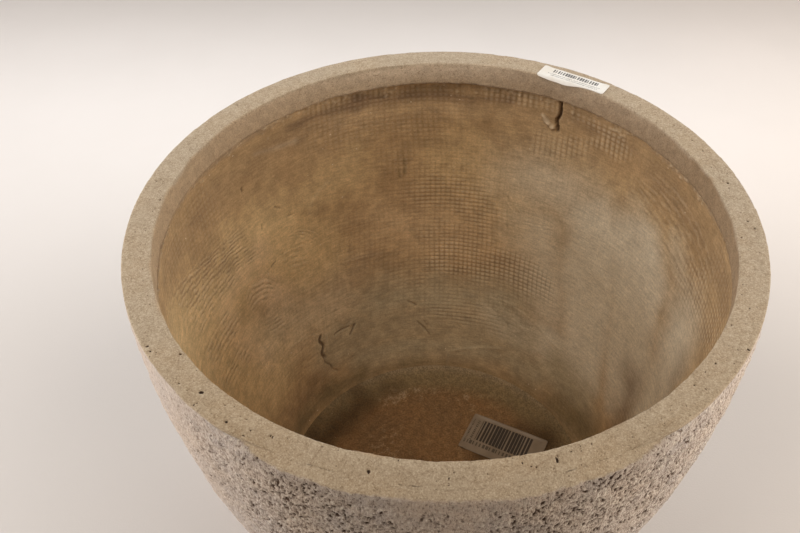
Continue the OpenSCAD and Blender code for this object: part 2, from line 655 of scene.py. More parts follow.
# The pits washed out of the face coat, as turn, height, half length, half width, lean, depth
def facePits():
    draw = np.random.default_rng(31)
    made = []
    for kind in ("big", "middle"):
        size = stone[kind]
        count = size["count"]
        height = draw.uniform(stone["lowest"], pot["height"] - 2, count)
        # fewer low down, where the belly is narrower
        keep = draw.uniform(0, 1, count) < bellyRadius(height) / pot["rimRadius"]
        turn = draw.uniform(0, 360, count)
        side = np.abs(np.cos(np.radians(turn))) ** 1.5
        sway = np.sin(np.radians(turn * 7 + 40)) + np.sin(np.radians(turn * 17)) * 0.8
        sway = sway + np.sin(np.radians(turn * 41 + 10)) * 0.6
        ahead = easy(1.2 - np.abs(awayFrom(turn, -90)) / 26)
        top = pot["height"] - stone["band"] - stone["sideBand"] * side - stone["frontBand"] * ahead
        top = top - stone["bandSway"] * sway
        fade = (top - height) / stone["bandFade"] + draw.uniform(-0.3, 0.7, count)
        keep &= fade > 0
        bare = byTurn(stone["bare"], turn)
        shrink = np.clip(0.55 + 0.6 * fade, 0.4, 1) * np.clip(0.6 + 0.4 * bare, 0.7, 1.05)
        made.append(np.column_stack([
            turn, height, draw.uniform(*size["long"], count) * shrink,
            draw.uniform(*size["wide"], count) * shrink,
            math.pi / 2 + draw.normal(0, stone["lean"], count),
            draw.uniform(*size["deep"], count) * shrink * np.clip(bare, 0.45, 1),
        ])[keep])
    return np.vstack(made)


# The stone face on the rows with these tags: its unevenness, and the depth of its pits
def facePatch(ring, tags, pits):
    patch = openPatch(ring, tags, 1)
    least, most = patch["keys"][[0, -1]]
    beyond = 4
    spots = pits[(pits[:, 1] > least - beyond) & (pits[:, 1] < most + beyond)]
    height = spots[:, 1].copy()
    # a pit just past the end of the patch keeps its own distance from it
    spots[:, 1] = outlineAt(patch, height) + (height - np.clip(height, least, most))
    deep = strike(patch, spots, bowl)
    wider = spots * [1, 1, 1.6, 1.6, 1, stone["raised"]]
    lift = strike(patch, wider, halo) * (deep < 0.05)
    at = patch["points"]
    skin = uneven(at, stone["uneven"])
    # worn round the pits, so no two walls between them are alike
    deep = deep * (1 + 0.35 * cloud(at, 5, 17, 1))
    return spread(patch, skin + lift), spread(patch, deep)


def stoneMaterial(name):
    material, shader = newMaterial(name, 0.92, 0.22)
    at = place()
    pit, sanded, lip, bare = [markOf(name) for name in ("pit", "sanded", "lip", "bare")]
    broad = grain(at, 45, 3)
    middle = grain(at, 7, 3, 0.6)
    # grains of the washed face stand taller than they are wide
    tall = place((1, 1, 0.55))
    fine = grain(tall, 1.5, 3, 0.65)
    crumb = grain(tall, 1.0, 2, 0.6, 0.3)
    speck = grain(at, 0.9, 2, 0.7)
    fleck = grain(at, 1.9, 2, 0.6)
    skin = overlay(stone["skinWarm"], (broad, 0.35, 0.65, 1.0, stone["skinCool"]),
                   (middle, 0.40, 0.62, 0.8, stone["skin"]))
    for grains, low, high, most, colour in (
        (fine, 0.53, 0.66, 0.8, "sand"), (fine, 0.47, 0.34, 0.8, "darkGrain"),
        (crumb, 0.42, 0.32, 0.85, "darkGrain"), (crumb, 0.60, 0.70, 0.7, "sand"),
    ):
        skin = tint(times(fit(grains, low, high, 0.0, most), bare), skin, stone[colour])
    # the pits are darkened by their depth: dirt and painted shade
    share = fit(plus(pit, offMiddle(fine, 1.1)), 0.2, 1.0)
    skin = tint(times(share, plus(bare, 0.15)), skin, stone["pitDirtAndShade"])
    pale, dark, lipDark = rimFinish["sandedPale"], rimFinish["sandedDark"], rimFinish["lipDark"]
    top = overlay(rimFinish["sanded"], (broad, 0.35, 0.65, 1.0, rimFinish["sandedWarm"]),
                  (speck, 0.52, 0.66, 0.75, pale), (speck, 0.47, 0.34, 0.7, dark),
                  (fleck, 0.55, 0.68, 0.35, pale), (fleck, 0.43, 0.32, 0.38, dark),
                  (middle, 0.35, 0.70, 0.25, pale))
    top = tint(strayGrains(at, 3.1, 0.90, 0.20), top, rimFinish["darkGrain"])
    x, y = axes(at)[:2]
    # painted shade: the stone darkens towards the viewer, and more at the very front
    skin = tint(fit(y, -0.10, -0.19), skin, stone["nearShade"], "MULTIPLY")
    skin = tint(fit(y, -0.168, -0.198), skin, stone["frontShade"], "MULTIPLY")
    # painted shade: the sanded top darkens towards the viewer
    top = tint(fit(y, -0.06, -0.17), top, rimFinish["nearShade"], "MULTIPLY")
    # painted shade: the lip's face darkens from left to right across the pot
    under = overlay(rimFinish["lipLeft"], (x, -0.12, 0.14, 1.0, rimFinish["lipRightShaded"]))
    under = tint(markOf("veiled"), under, rimFinish["lipFar"])
    under = shade(shade(under, middle, 0.1), speck, 0.18)
    under = overlay(under, (fleck, 0.42, 0.32, 0.5, lipDark))
    # pinholes are darkened by their depth: painted shade
    top = overlay(tint(lip, top, under), (pit, 0.25, 0.9, 1.0, rimFinish["hole"]))
    top = tint(times(markOf("scratch"), 0.5), top, lipDark)
    level = fit(sanded, 0, 1, 1.0, 0.3)
    grit = grain(at, 0.7, 2, 0.6)
    relief = [(times(fine, level), 0.9), (times(grit, level), 0.35)]
    dress(shader, tint(sanded, skin, top), relief, (fine, 0.80, 0.16))
    return material


rimFinish = {
    "sanded": (0.400, 0.310, 0.215),
    "sandedWarm": (0.410, 0.305, 0.200),
    "sandedPale": (0.58, 0.475, 0.355),
    "sandedDark": (0.225, 0.160, 0.100),
    "darkGrain": (0.16, 0.11, 0.07),
    "nearShade": (0.89, 0.875, 0.84),  # painted shade: the side near the viewer is darker and browner
    "lipLeft": (0.40, 0.28, 0.17),
    "lipFar": (0.54, 0.42, 0.30),
    # painted shade: the lip's face is darker on the right
    "lipRightShaded": (0.295, 0.20, 0.118),
    "veil": [(20, 0.03), (40, 0.28), (55, 0.40), (70, 0.37), (85, 0.80), (100, 0.92), (115, 0.63),
             (130, 0.33), (145, 0.18), (160, 0.05), (170, 0)],  # turn, and how far lipFar shows
    "lipDark": (0.22, 0.14, 0.08),
    # painted shade in the pinholes
    "hole": (0.05, 0.03, 0.02),
    # how uneven it is, by a broad and by a fine noise: the sanded top, the inside and the lip
    "topWear": (0.10, 0.04),
    "insideWear": (0.18, 0.10),
    "lipWear": (0.22, 0.16),
    "lipFilled": [(-180, 1), (-150, 0.7), (-90, 0.5), (-20, 0.7), (10, 0.85), (30, 0.6), (46, 0), (112, 0),
                  (132, 0.8), (150, 1), (180, 1)],  # turn, and how far the lip's round is filled with mortar
    "crisp": 0.8,  # share of the solid's round that is filled out at the sides, to a sharp edge
    "slope": 36.0,  # in front the sanding ran down over the edge, at this angle
    "slopeStart": 186.5,
    "slopeTurn": -88.0,
    "slopeMost": 6.4,  # the most that it takes off
    "slopeReach": (32.0, 16.0),  # half its length in degrees, and how fast it runs out
    "holes": [  # turn, radius and size of the pinholes that show
        (-131.0, 190.5, 1.5), (-145.0, 197.0, 0.9), (-143.7, 197.1, 0.8), (176.2, 184.5, 0.8),
        (-100.1, 190.5, 0.9), (-71.7, 188.3, 1.0), (-66.6, 198.6, 0.8), (0.1, 191.6, 0.8),
        (-1.8, 194.5, 0.8), (-4.6, 185.0, 0.7), (11.5, 191.1, 0.9), (22.2, 192.0, 0.8),
        (32.1, 192.9, 0.8), (26.2, 192.4, 0.7), (-32.1, 198.0, 0.9), (-33.1, 193.5, 0.6),
        (-123.8, 194.8, 0.9), (-120.3, 195.8, 0.8), (-129.9, 197.9, 0.6), (-126.1, 187.9, 0.6),
        (-122.6, 188.4, 0.5), (-140.2, 184.5, 0.9), (80.7, 186.5, 0.7), (178.9, 185.5, 0.6),
    ],
    "stray": 170,  # small pinholes all round
    "strayOver": (183, 198),
    "straySize": (0.25, 0.62),
    "scratch": (0.55, 0.14),  # width and depth
    "sandedDown": (8.9, 0.9),  # how far down past the corner it is sanded, in front and elsewhere
    "scratches": [
        [(-109.1, 197.2), (-108.8, 191.8), (-108.0, 184.5)],
        [(-137.7, 190.3), (-140.2, 185.0), (-142.1, 183.6)],
        [(173.5, 194.5), (172.0, 189.4), (169.4, 188.7)],
        [(-96.0, 186.0), (-93.5, 190.0), (-92.0, 196.0)],
        [(-78.0, 193.0), (-74.0, 188.0), (-71.0, 186.0)],
        [(12.0, 186.0), (15.0, 190.0), (19.0, 191.0)],
    ],
}
pits = facePits()
print("pits in the stone face:", len(pits))


def outerCoat():
    foot, bore = pot["footRadius"], pot["drain"]
    above = bellyLine(0, 0, pot["bellyTop"], 21)[1]
    lean = math.atan2(above[0] - foot, above[1])
    reach = pot["footRound"] * math.tan((math.pi / 2 - lean) / 2)
    middle = (foot - reach, pot["footRound"])
    edge = roundLine(middle, pot["footRound"], -90, -math.degrees(lean))
    side = [p for p in bellyLine(0, edge[-1][1], pot["bellyTop"], 160) if p[1] > edge[-1][1]]
    back = bellyLine(pot["coat"], pot["bellyTop"], pot["netTop"], 40)
    ring = ringGrid([
        ("under", 3.5, [(bore, 0), edge[0]]),
        ("foot", 0.9, edge),
        ("belly", 0.85, [edge[-1]] + side),
        ("hiddenTop", 5, [side[-1], back[0]]),
        ("hiddenBack", 12, back),
        ("hiddenBack", 12, [back[-1], (back[-1][0] - 1, pot["coat"]), (bore, pot["coat"])]),
        ("bore", 1.7, [(bore, pot["coat"]), (bore, 0)]),
    ], 1480)
    skin, deep = facePatch(ring, ["foot", "belly"], pits)
    push = skin * rowWeight(ring, ["belly"], 5) - np.minimum(deep, 2.4)
    below = openPatch(ring, ["under", "foot", "bore"], 1)
    push += rowWeight(ring, ["under", "bore"], 4) * spread(below, uneven(below["points"], stone["under"]))
    marks = {"pit": deep / 0.9, "sanded": 0.0, "lip": 0.0, "scratch": 0.0, "veiled": 0.0,
             "bare": byTurn(stone["bare"], np.degrees(ring["turns"]))}
    piece = buildRing("outerCoat", ring, push, marks, stoneMaterial("blastedStone"))
    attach(piece, "root")
    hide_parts("face_coat")


outerCoat()

print("sanded rim")


# How far a round of this radius, which begins at s = start, is from a square corner
def toSquare(s, start, radius):
    bend = np.clip((s - start) / radius, 0, math.pi / 2)
    return radius / np.maximum(np.cos(bend), np.sin(bend)) - radius


def sandedRim():
    outer, top, low = pot["rimRadius"], pot["height"], pot["bellyTop"]
    mouth, roundR, lipR, edgeR = pot["mouthRadius"], pot["rimRound"], pot["lipRound"], pot["mouthRound"]
    wall = float(layerRadius(low, pot["wall"]))
    edge = roundLine((outer - roundR, top - roundR), roundR, 0, 90)
    inner = roundLine((mouth + edgeR, top - edgeR), edgeR, 90, 180, 7)
    lip = roundLine((mouth + lipR, low + lipR), lipR, 180, 270)
    ring = ringGrid([
        ("face", 0.8, [(outer, low), edge[0]]),
        ("edge", 0.55, edge),
        ("flat", 0.55, [edge[-1], inner[0]]),
        ("mouth", 0.4, inner),
        ("inside", 0.75, [inner[-1], lip[0]]),
        ("lip", 0.6, lip),
        ("lipUnder", 0.6, [lip[-1], (wall, low)]),
        ("hiddenUnder", 4, [(wall, low), (outer, low)]),
    ], 2000)
    skin, deep = facePatch(ring, ["face", "edge"], pits)
    whole = openPatch(ring, ["face", "edge", "flat", "mouth", "inside", "lip", "lipUnder"], 0)
    at = whole["points"]
    s = ring["s"][:-1, None]
    onFace, onFlat = rowWeight(ring, ["face"], 3), rowWeight(ring, ["edge", "flat"], 4)
    onInside = rowWeight(ring, ["mouth", "inside"], 4)
    onLip = rowWeight(ring, ["lip", "lipUnder"], 3)
    turns = np.degrees(ring["turns"])
    halfLong, runOut = rimFinish["slopeReach"]
    front = easy((halfLong - np.abs(awayFrom(turns, rimFinish["slopeTurn"]))) / runOut + 0.5)[None, :]
    fromCorner = s - (firstOf(ring, "edge") + firstOf(ring, "flat")) / 2
    wear = spread(whole, cloud(at, 18, 61, 3))
    fine = spread(whole, cloud(at, 3, 65, 2))
    crisp = rimFinish["crisp"] * (1 - front) * toSquare(s, firstOf(ring, "edge"), roundR)
    # the slope in front is a plane that takes off whatever stands out past it
    tilt = math.radians(rimFinish["slope"])
    facing = np.array([math.sin(tilt), math.cos(tilt)])
    past = (ring["line"] - [rimFinish["slopeStart"], top]) @ facing
    past = (past + np.sqrt(past ** 2 + 0.5)) / 2 / np.maximum(ring["out"] @ facing, 0.3)
    sloped = np.maximum(past[:, None] - rimFinish["slopeMost"] * (1 - front), 0)
    nicks = -0.35 * easy(wear * 1.4 - 0.6) * np.exp(-(fromCorner / 2) ** 2)
    level = onFace * easy(-fromCorner / 10)
    push = skin * level - np.minimum(deep, 2.2) * (1 - onFlat) * (sloped < 0.2)
    push += crisp - sloped + nicks
    push += 0.95 * byTurn(rimFinish["lipFilled"], turns) * toSquare(s, firstOf(ring, "lip"), lipR)
    for rows, amounts in ((onFlat, "topWear"), (onInside, "insideWear"), (onLip, "lipWear")):
        broad, small = rimFinish[amounts]
        push += rows * (broad * wear + small * fine)
    flat = openPatch(ring, ["edge", "flat", "mouth"], 0)
    draw = np.random.default_rng(77)
    count = rimFinish["stray"]
    stray = np.column_stack([draw.uniform(0, 360, count), draw.uniform(*rimFinish["strayOver"], count),
                             draw.uniform(*rimFinish["straySize"], count)])
    holes = np.vstack([rimFinish["holes"], stray])
    turn, radius, size = holes.T
    spots = np.column_stack([turn, outlineAt(flat, radius), size,
                             size * draw.uniform(0.6, 0.95, len(holes)),
                             draw.uniform(0, math.pi, len(holes)), 0.9 + size * 0.9])
    holed = spread(flat, strike(flat, spots, bowl))
    width, depth = rimFinish["scratch"]
    scratches = [(path, width, 1.0) for path in rimFinish["scratches"]]
    scratched = spread(flat, strikeStrokes(flat, scratches, swell))
    push -= holed + depth * scratched
    # the sanding reaches down the slope in front, and stops at the top at the sides
    far, near = rimFinish["sandedDown"]
    crease = -far * front - near * (1 - front) + 0.55 * wear + 0.25 * fine
    sanded = easy((fromCorner - crease) / 0.9 + 0.5)
    lipMark = easy((s - firstOf(ring, "mouth") + 1.2 * wear) / 4)
    drawnUp = np.clip(1 + 0.06 * (ring["line"][:, 1:] - top + 9), 0.6, 1.4)
    veiled = np.interp(turns, *np.array(rimFinish["veil"], float).T, 0, 0) * drawnUp
    # painted shade on the rim's face in front, darkened through the pit mark
    frontPaintedShade = 0.3 * easy(front * 1.3) * onFace
    marks = {"pit": (deep / 0.9 + frontPaintedShade) * (1 - sanded) + holed, "sanded": sanded, "lip": lipMark,
             "scratch": scratched, "veiled": veiled, "bare": byTurn(stone["bare"], turns)}
    piece = buildRing("sandedRim", ring, push, marks, stoneMaterial("sandedStone"))
    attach(piece, "root")
    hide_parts("rim_band")


sandedRim()

print("trowelled inner wall")
backing = {
    "uneven": [(0.75, 70, 101, 2), (0.22, 15, 105, 2), (0.07, 3.5, 107, 2)],
    "fill": [(-180, 5.9), (-90, 5.0), (-20, 5.2), (10, 5.5), (30, 4.6), (48, 0), (116, 0), (136, 5.2),
             (150, 5.9), (180, 5.9)],  # turn, and how thick the backing is drawn up under the lip there
    "netPitch": (4.5, 3.95),  # glass net, across and down
    "netHeight": 0.40,
    "combRise": 0.7,  # share of the combs' height that the mesh takes on
    "lowest": 24.0,  # the wall's face ends here, behind the cove
    "fillFades": 11.0,  # how fast the fill under the lip runs out below it
    # where its top is drawn up under the lip: the open part's middle and half width as turns,
    # how fast it begins beside that, how far down it shows and how strongly
    "drawnUp": (82, 40, 18, 9, 0.85),
    "netMiddle": 91.0,  # the turn at which the net hangs straight
    # where its print shows: a path of turn and height, its radius, how strongly it shows,
    # and how much of it is dots, upright lines and level lines
    "nets": [
        ([(99, 240), (86, 232), (74, 225)], 30, 0.36, (1, 0.5, 0.3)),
        ([(94, 205), (84, 198), (76, 180)], 20, 0.75, (0.8, 0.1, 0.5)),
        ([(92, 166), (77, 160)], 14, 0.8, (1, 0.1, 0.2)),
        ([(88, 140), (74, 138), (58, 134)], 19, 1.25, (1, 0, 0.05)),
        ([(88, 88), (76, 84), (66, 80)], 13, 0.6, (0.5, 0, 1)),
        ([(11, 236), (2, 246), (-7, 254), (-16, 250)], 20, 0.85, (1, 0.1, 0.2)),
        ([(64, 263), (55, 269)], 10, 0.70, (1, 0.7, 0)),
        ([(56, 301), (50, 297), (44, 298)], 6, 1.0, (1, 0.4, 0.3)),
        ([(50, 284), (43, 289)], 7, 0.80, (0.8, 1, 0)),
        ([(124, 306), (112, 305), (97, 304)], 4, 0.36, (0.1, 1, 0)),
        ([(79, 301), (70, 302), (62, 302)], 6, 0.75, (1, 1, 0)),
        ([(103.5, 127), (99, 112)], 10, 0.5, (1, 0, 0.3)),
    ],
    "netEverywhere": 0.20,
    # the comb's marks: its first and last line as paths, the number of lines, height and width
    "combs": [
        ([(147.5, 239), (154.5, 241), (165, 248), (178.5, 263), (188, 277)],
         [(142.5, 192), (152.8, 198), (162, 196), (172.7, 197), (184.3, 203)], 14, 0.60, 1.1),
        ([(161, 191), (172.7, 192), (184.3, 198)],
         [(158.3, 163), (171.1, 164), (182.1, 168)], 7, 0.55, 1.1),
        ([(162, 160), (172, 161), (184, 166)], [(160, 132), (171, 134), (183, 140)], 7, 0.50, 1.1),
        ([(158.5, 178), (153.7, 187), (147, 180), (143, 165)],
         [(158.4, 160), (154, 163), (149.1, 159), (146.4, 152)], 6, 0.50, 1.0),
        ([(155.5, 150), (151.1, 146), (146.8, 142)],
         [(152.7, 120), (149.2, 118), (144, 116)], 8, 0.40, 1.0),
        ([(143.2, 191), (137, 191), (130.4, 187)],
         [(141.1, 170), (136.7, 166), (132.2, 162)], 6, 0.42, 1.0),
        ([(135.5, 207), (129.7, 198), (125.4, 186)],
         [(138.7, 196), (134.5, 193), (129, 176)], 5, 0.34, 0.8),
        ([(45, 265), (33.3, 249), (21.8, 237), (3, 226)],
         [(36, 292), (20, 291), (6.2, 281), (-5.3, 271)], 9, 0.32, 1.0),
        ([(72.2, 119), (59.7, 100), (49.4, 90)], [(79.5, 102), (67.4, 80), (58.2, 68)], 3, 0.32, 1.1),
        ([(74.9, 212), (71, 200), (68.3, 191)], [(72.5, 213), (69, 202), (66, 193)], 2, 0.4, 1.1),
        ([(68.2, 189), (61, 191), (55.4, 196)], [(68, 184), (61, 185), (55, 189)], 3, 0.30, 0.8),
        ([(98.8, 79), (95.9, 68), (92.9, 55)], [(96.9, 81), (94.5, 72), (91.8, 62)], 2, 0.4, 1.1),
        ([(121, 284), (108, 281), (96, 279)], [(120, 272), (108, 269), (96, 268)], 4, 0.16, 0.8),
    ],
    "ridges": [  # paths, width and height of single folds
        ([(28.3, 238), (16.1, 229), (9.7, 233), (-2.9, 231)], 1.6, 0.5),
        ([(133.2, 92), (134.0, 82), (134.4, 72)], 2.2, 0.7),
        ([(126.4, 86), (124.5, 88), (122.6, 90)], 2.0, 0.8),
        ([(124.4, 78), (122.8, 82), (121.4, 85)], 1.6, 0.7),
        ([(122.6, 151), (114.2, 150), (107.5, 147)], 4.5, 0.45),
        ([(120.2, 234), (124.8, 226), (128.3, 215), (129.4, 203)], 3.0, 0.4),
        ([(48.5, 251), (46, 251), (44.8, 256)], 1.2, 0.5),
        ([(150, 106), (141, 100), (134, 92)], 3.0, 0.35),
        ([(73.1, 108), (57, 97), (48.4, 88), (39.3, 84)], 1.6, 0.4),
        ([(86.5, 41), (77.3, 48), (62.7, 58)], 2.4, 0.45),
        ([(86.1, 22), (86.3, 32), (86.6, 44)], 2.4, 0.45),
    ],
    "cracks": [  # paths, width and depth
        ([(60.9, 309), (60.7, 302), (60.7, 295), (61.3, 290), (60.9, 285), (60.6, 279)], 1.4, 3.4),
        ([(135.5, 94), (136.6, 88), (135.8, 82), (137.2, 76), (136.6, 69)], 1.7, 1.9),
        ([(137.0, 72), (137.2, 66), (135.5, 60), (135.0, 55), (132.6, 49)], 0.9, 1.0),
        ([(130.8, 86), (127.5, 87), (124.0, 87)], 1.1, 1.2),
        ([(124.6, 78), (123.2, 82), (121.9, 87)], 1.2, 1.4),
        ([(101.8, 96), (100, 93), (98.6, 90)], 0.9, 0.9),
        ([(98.8, 74), (96, 66), (93.7, 58)], 0.9, 0.9),
        ([(138.6, 233), (137, 229)], 0.8, 1.2),
        ([(135.2, 218), (133.9, 217)], 0.9, 1.2),
        ([(143.5, 225), (143.9, 221)], 0.8, 1.2),
        ([(144.7, 184), (142.6, 186)], 0.8, 1.2),
        ([(146.5, 267), (146.7, 263)], 1.0, 1.6),
    ],
    "lump": ([(64.3, 290), (63.6, 287), (62.7, 283)], 1.9, 2.0),  # path, radius and height
    "nodules": 420,  # small lumps squeezed out under the lip
    "brown": (0.407, 0.259, 0.128),
    "ochre": (0.699, 0.497, 0.259),
    "rose": (0.742, 0.526, 0.308),
    "slurry": (0.747, 0.648, 0.490),
    "moss": (0.433, 0.349, 0.223),
    # painted shadow under the lip's overhang, and dark stains
    "shadowAndStain": (0.202, 0.122, 0.066),
    "cornerShadeAndStain": (0.221, 0.155, 0.077),  # painted shade where the wall meets the floor, and small dark marks
    # painted shade in the sunk net print, comb lines and cracks
    "dark": (0.110, 0.065, 0.033),
    # pale grains, and painted highlight on the raised net print, comb lines and ridges
    "pale": (0.74, 0.60, 0.43),
}
tones = {  # paths, radius, softness and strength of the colour patches on the inner wall
    "ochre": [
        ([(190, 225), (178, 205), (166, 190), (156, 205)], 35, 75, 0.90),
        ([(184, 165), (174, 150), (168, 132), (160, 112)], 40, 75, 0.86),
        ([(142, 212), (138, 190), (132, 170)], 28, 75, 1.15),
        ([(128, 222), (116, 232)], 24, 60, 0.58),
        ([(74, 262), (58, 256), (40, 252), (22, 250)], 19, 31, 0.25),
        ([(84, 235), (72, 215), (66, 190)], 31, 75, 0.60),
        ([(152, 135), (142, 112), (132, 108)], 21, 66, 0.57),
    ],
    "rose": [
        ([(147, 204), (159, 197), (165, 190), (166, 154), (160, 120)], 14, 21, 0.54),
        ([(118, 286), (106, 285), (94, 285), (80, 284), (66, 284)], 8, 13, 0.23),
        ([(108, 178), (96, 165), (82, 160)], 31, 66, 0.46),
        ([(150, 174), (147, 158)], 13, 30, 0.95),
    ],
    "slurry": [
        ([(32, 214), (27, 190), (24, 165), (20, 145), (16, 125)], 37, 48, 0.86),
        ([(44, 205), (42, 175), (38, 145), (36, 115), (34, 92)], 28, 62, 1.15),
        ([(6, 204), (4, 170), (2, 125)], 30, 70, 0.80),
        ([(66, 226), (56, 224), (48, 218)], 31, 75, 0.61),
        ([(60, 185), (56, 150), (52, 115)], 28, 84, 0.72),
        ([(150, 130), (140, 118), (128, 112)], 34, 75, 0.37),
        ([(20, 244), (14, 234), (8, 226)], 17, 25, 0.39),
        ([(70, 92), (58, 82)], 15, 51, 1.05),
        ([(50, 84), (36, 80)], 18, 60, 1.10),
        ([(141, 288), (135, 283), (129, 281)], 1.2, 7, 0.30),
    ],
    "moss": [
        ([(112, 100), (96, 98), (80, 100), (66, 100)], 24, 75, 0.90),
        ([(130, 72), (112, 74), (92, 74), (76, 72), (60, 76)], 27, 35, 0.63),
        ([(122, 50), (104, 48), (84, 46), (66, 48), (48, 52)], 18, 51, 0.85),
        ([(40, 64), (28, 56)], 21, 60, 1.0),
    ],
    # the patches at heights 280 to 301 are painted shadow under the lip; the others are dark stains
    "shadowAndStain": [
        ([(130, 297), (118, 296), (106, 295), (94, 297), (82, 296), (74, 298)], 4, 15, 0.79),
        ([(64, 297), (44, 296), (26, 294)], 7, 26, 0.46),
        ([(162, 224), (156, 216)], 7, 24, 0.45),
        ([(12, 122), (8, 104), (4, 88)], 15, 44, 0.62),
        ([(35, 238), (33, 226)], 4, 34, 0.40),
        ([(-2, 202), (-3, 182)], 6, 30, 0.40),
        ([(112, 301), (104, 298)], 3, 10, 1.0),
        ([(180, 282), (162, 276), (142, 284), (120, 290)], 10, 36, 0.40),
        ([(34, 282), (16, 278), (-6, 280)], 10, 36, 0.44),
        ([(142, 236), (140, 228)], 4, 34, 0.52),
        ([(160, 58), (150, 52), (142, 50)], 12, 24, 0.38),
        ([(118, 149), (112, 150), (107, 148)], 2.4, 12, 0.30),
    ],
    # painted shade in the corner where the wall meets the floor; the two small ones near turn 100 are dark
    # marks
    "cornerShadeAndStain": [
        ([(170, 34), (154, 38), (140, 36), (124, 34)], 6, 45, 1.12),
        ([(118, 30), (94, 30), (66, 27), (44, 28)], 4, 30, 0.78),
        ([(34, 36), (22, 40), (12, 44)], 12, 51, 1.15),
        ([(100.4, 237), (100.2, 231), (100.5, 225)], 1.5, 3, 0.6),
        ([(101.9, 228), (101.7, 222)], 1.0, 2.6, 0.6),
    ],
}


def wallMaterial():
    material, shader = newMaterial("trowelledBacking", 0.88, 0.25)
    at = place()
    broad = grain(at, 38, 3, 0.55, 0.4)
    middle = grain(at, 9, 3, 0.6)
    fine = grain(at, 1.4, 3, 0.65)
    # the trowel went round the pot, so its streaks lie level
    streak = grain(place((0.16, 0.16, 1.0)), 1.7, 3, 0.6)
    colour = overlay(backing["brown"], (broad, 0.36, 0.64, 0.12, backing["ochre"]))
    shift = offMiddle(middle, 0.07)
    for name in ("ochre", "rose", "slurry", "moss", "shadowAndStain", "cornerShadeAndStain"):
        colour = overlay(colour, (plus(markOf(name), shift), -0.05, 1.0, 1.0, backing[name]))
    colour = tint(markOf("drawn"), colour, rimFinish["lipLeft"])
    # mottled, but smoother where slurry was wiped over it
    mottle = grain(at, 17, 3, 0.6, 0.8)
    bareWall = fit(markOf("slurry"), 0.2, 0.9, 1.0, 0.3)
    colour = shade(colour, mottle, 0.09, share=bareWall)
    colour = shade(colour, middle, 0.11, 0.25, bareWall)
    colour = shade(shade(colour, streak, 0.10), fine, 0.13)
    colour = tint(strayGrains(at, 6.5, 0.90, 0.12), colour, backing["pale"])
    # the net's print and the comb's lines are finer than the mesh, so they are drawn here
    waves = []
    for name in ("netAcross", "netDown"):
        wave = calc("SINE", times(markOf(name), math.pi))
        waves.append(calc("POWER", calc("ABSOLUTE", wave), 0.8))
    printed = times(calc("SUBTRACT", times(*waves), 0.42), markOf("netDots"))
    for wave, name in zip(waves, ("netUprights", "netLevels")):
        line = times(calc("SUBTRACT", wave, 0.62), markOf(name))
        printed = plus(printed, line)
    combed = plus(markOf("combLine"), offMiddle(middle, 1.5))
    combed = calc("COSINE", times(combed, 2 * math.pi))
    worn = fit(grain(at, 6, 2), 0.36, 0.62, 0.15, 1.0)
    combed = times(combed, times(markOf("combed"), worn))
    # raised print and comb lines are painted pale and sunk ones dark: painted highlight and painted shade of
    # their relief; cracks get painted shade, and the ridges' pale is partly the nodules' and lump's own
    # colour
    for value, most, over in (
        (printed, 0.75, "pale"), (printed, -0.75, "dark"), (combed, -0.34, "dark"), (combed, 0.26, "pale"),
        (markOf("ridgePaleAndHighlight"), 0.5, "pale"), (markOf("shadeInHollows"), 0.55, "dark"),
    ):
        colour = tint(times(value, most), colour, backing[over])
    relief = [(middle, 0.25), (plus(printed, combed), 0.15), (fine, 0.20)]
    dress(shader, colour, relief, (middle, 0.72, 0.25))
    return material


def netPrint(patch):
    at = patch["points"]
    across, down = backing["netPitch"]
    u = np.radians(awayFrom(patch["degrees"], backing["netMiddle"]))[None, :] * patch["radius"][:, None]
    u = u / across + cloud(at, 60, 81, 2) * 0.28
    v = patch["s"][:, None] / down + cloud(at, 80, 84, 2) * 0.35
    upright, level = np.abs(np.sin(math.pi * u)) ** 0.7, np.abs(np.sin(math.pi * v)) ** 0.7
    patchy = 0.9 + 0.3 * cloud(at, 16, 87, 2)
    ragged = cloud(at, 14, 88, 1) * 4
    rise, show = np.zeros(u.shape), np.zeros(u.shape)
    names = ("netDots", "netUprights", "netLevels")
    marks = {"netAcross": u, "netDown": v, **{name: np.zeros(u.shape) for name in names}}
    for path, radius, shown, kinds in backing["nets"]:
        amount = np.clip(shown * nearPath(patch, path, radius, radius, ragged) * patchy, 0, 1.2)
        dots, lines, levels = kinds
        shape = (dots * upright * level + lines * upright + levels * level) / sum(kinds)
        better = amount > show
        rise = np.where(better, shape * amount, rise)
        show = np.where(better, amount, show)
        for name, kind in zip(names, kinds):
            marks[name] = np.where(better, amount * kind / sum(kinds), marks[name])
    # it shows faintly everywhere but at the seam, which lies in front
    seam = easy(np.abs(awayFrom(patch["degrees"], backing["netMiddle"] + 180)) / 8)
    seam = seam * (0.3 + 0.7 * easy((patch["height"][:, None] - 60) / 40))
    faint = backing["netEverywhere"] * np.clip(cloud(at, 60, 91, 2) + 0.6, 0, 1.4) * seam
    rise = rise + faint * upright * level * (show < faint)
    marks["netDots"] = np.maximum(marks["netDots"], faint * (show < 0.3))
    return rise, marks


# At each point of a patch, which of a comb's lines it is on, and how strongly they show
def combLines(patch):
    line, strength = np.zeros((2, *patch["grid"]))
    t, share = np.linspace(0, 1, 300), np.linspace(0, 1, 400)[:, None]
    for first, last, lines, height, _ in backing["combs"]:
        start, end = smoothPath(first, 300), smoothPath(last, 300)
        turn, key = (start + (end - start) * share[..., None]).transpose(2, 0, 1)
        s = outlineAt(patch, key)
        row = rowAt(patch, s)
        column = np.rint(turn / 360 * patch["around"]).astype(int) % patch["around"]
        edge = easy(np.minimum(t, 1 - t) / 0.25) * easy(np.minimum(share, 1 - share) / 0.14)
        hits, shares, edges = np.zeros((3, *line.shape))
        for total, value in ((hits, 1.0), (shares, share + 0 * turn), (edges, edge)):
            np.add.at(total, (row, column), value)
        here = edges / np.maximum(hits, 1) * height * 2
        better = here > strength
        line = np.where(better, shares / np.maximum(hits, 1) * (lines - 1), line)
        strength = np.where(better, here, strength)
    return line, np.clip(strength, 0, 1.2)


